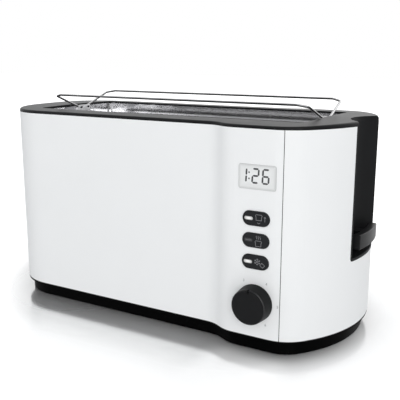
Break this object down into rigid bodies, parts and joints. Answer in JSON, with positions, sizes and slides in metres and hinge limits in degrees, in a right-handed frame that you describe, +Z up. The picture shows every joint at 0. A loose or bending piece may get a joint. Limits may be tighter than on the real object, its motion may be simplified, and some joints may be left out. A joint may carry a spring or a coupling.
{
  "type": "toaster",
  "caption": "Long slot toaster with a white shell, black top plate, wire warming rack, lever in the end and a front panel with display, keys and browning knob.",
  "frame": {"origin": "middle of the whole toaster's box, with knob and lever, on the worktop it stands on", "axes": "+X along the slots to the lever end, the control panel faces -Y, +Z up"},
  "size_m": [0.3786, 0.1956, 0.2138],
  "materials": {
    "white_metal": "smooth white enamel, softly glossy",
    "black_plastic": "fine-grained black moulding",
    "key_plastic": "smooth black, half gloss",
    "rubber": "matt black rubber",
    "bright_steel": "bright rolled steel",
    "plated_steel": "zinc plated sheet",
    "wire_chrome": "polished wire",
    "mica": "layered mica sheet",
    "heater_wire": "flat resistance wire, slightly darkened",
    "display_pane": "pale grey liquid crystal pane",
    "lamp_lens": "clear light guide",
    "board": "green lacquered board"
  },
  "bodies": {
    "housing": {"main_sleeve": "white_metal", "end_cover": "white_metal", "top_plate": "black_plastic", "lever_channel": "black_plastic", "base_plinth": "black_plastic", "base_screws": "plated_steel", "feet": "rubber", "cord_gland": "black_plastic", "slot_liner": "bright_steel", "rack_bracket_left": "bright_steel", "rack_bracket_right": "bright_steel", "chassis_left": "plated_steel", "chassis_right": "plated_steel", "reflector_front": "plated_steel", "reflector_rear": "plated_steel", "heater_card_front": "mica", "heater_card_middle": "mica", "heater_card_rear": "mica", "heater_ribbon_front": "heater_wire", "heater_ribbon_middle": "heater_wire", "heater_ribbon_rear": "heater_wire", "guide_rods": "bright_steel", "rod_bracket": "plated_steel", "latch_magnet": "plated_steel", "display_window": "display_pane", "display_module": "black_plastic", "key_carrier": "black_plastic", "control_board": "board", "board_posts": "black_plastic", "board_screws": "plated_steel", "key_switches": "black_plastic", "browning_pot": "black_plastic", "power_board": "board"},
    "carriage": {"carriage_plate": "plated_steel", "carriage_bushes": "black_plastic", "lifter_bar_front": "plated_steel", "lifter_bar_rear": "plated_steel", "lever_handle": "black_plastic", "latch_armature": "plated_steel", "return_springs": "bright_steel"},
    "guide_front_outer": {"bread_guide_front_outer": "wire_chrome"},
    "guide_front_inner": {"bread_guide_front_inner": "wire_chrome"},
    "guide_rear_inner": {"bread_guide_rear_inner": "wire_chrome"},
    "guide_rear_outer": {"bread_guide_rear_outer": "wire_chrome"},
    "eject_key": {"button_eject": "key_plastic", "lamp_eject": "lamp_lens"},
    "reheat_key": {"button_reheat": "key_plastic", "lamp_reheat": "lamp_lens"},
    "defrost_key": {"button_defrost": "key_plastic", "lamp_defrost": "lamp_lens"},
    "knob": {"browning_knob": "key_plastic", "browning_shaft": "plated_steel"},
    "tray": {"crumb_tray": "plated_steel", "crumb_tray_front": "black_plastic"},
    "rail_front": {"rack_rail_front": "wire_chrome"},
    "rail_rear": {"rack_rail_rear": "wire_chrome"}
  },
  "joints": [
    {"name": "carriage_lift", "type": "slide", "parent": "housing", "child": "carriage", "axis": [0, 0, 1], "range_m": [0, 0.08], "deforming": ["return_springs"]},
    {"name": "guide_front_outer_slide", "type": "slide", "parent": "housing", "child": "guide_front_outer", "axis": [0, -1, 0], "range_m": [0, 0.005]},
    {"name": "guide_front_inner_slide", "type": "slide", "parent": "housing", "child": "guide_front_inner", "axis": [0, 1, 0], "range_m": [0, 0.005]},
    {"name": "guide_rear_inner_slide", "type": "slide", "parent": "housing", "child": "guide_rear_inner", "axis": [0, -1, 0], "range_m": [0, 0.005]},
    {"name": "guide_rear_outer_slide", "type": "slide", "parent": "housing", "child": "guide_rear_outer", "axis": [0, 1, 0], "range_m": [0, 0.005]},
    {"name": "eject_press", "type": "slide", "parent": "housing", "child": "eject_key", "axis": [0, 1, 0], "range_m": [0, 0.0008], "stiffness_N_per_m": 800},
    {"name": "reheat_press", "type": "slide", "parent": "housing", "child": "reheat_key", "axis": [0, 1, 0], "range_m": [0, 0.0008], "stiffness_N_per_m": 800},
    {"name": "defrost_press", "type": "slide", "parent": "housing", "child": "defrost_key", "axis": [0, 1, 0], "range_m": [0, 0.0008], "stiffness_N_per_m": 800},
    {"name": "knob_turn", "type": "hinge", "parent": "housing", "child": "knob", "pos_m": [0.1167, -0.08415, 0.0467], "axis": [0, -1, 0], "range_deg": [-150, 150]},
    {"name": "tray_slide", "type": "slide", "parent": "housing", "child": "tray", "axis": [-1, 0, 0], "range_m": [0, 0.27]},
    {"name": "rail_front_fold", "type": "hinge", "parent": "housing", "child": "rail_front", "pos_m": [-0.0019, -0.0002, 0.19704], "axis": [1, 0, 0], "range_deg": [0, 31]},
    {"name": "rail_rear_fold", "type": "hinge", "parent": "housing", "child": "rail_rear", "pos_m": [-0.0019, 0.0114, 0.19704], "axis": [-1, 0, 0], "range_deg": [0, 31]}
  ],
  "couplings": [
    {"joint": "guide_front_outer_slide", "follows": "carriage_lift", "ratio": 0.0625},
    {"joint": "guide_front_inner_slide", "follows": "carriage_lift", "ratio": 0.0625},
    {"joint": "guide_rear_inner_slide", "follows": "carriage_lift", "ratio": 0.0625},
    {"joint": "guide_rear_outer_slide", "follows": "carriage_lift", "ratio": 0.0625}
  ]
}
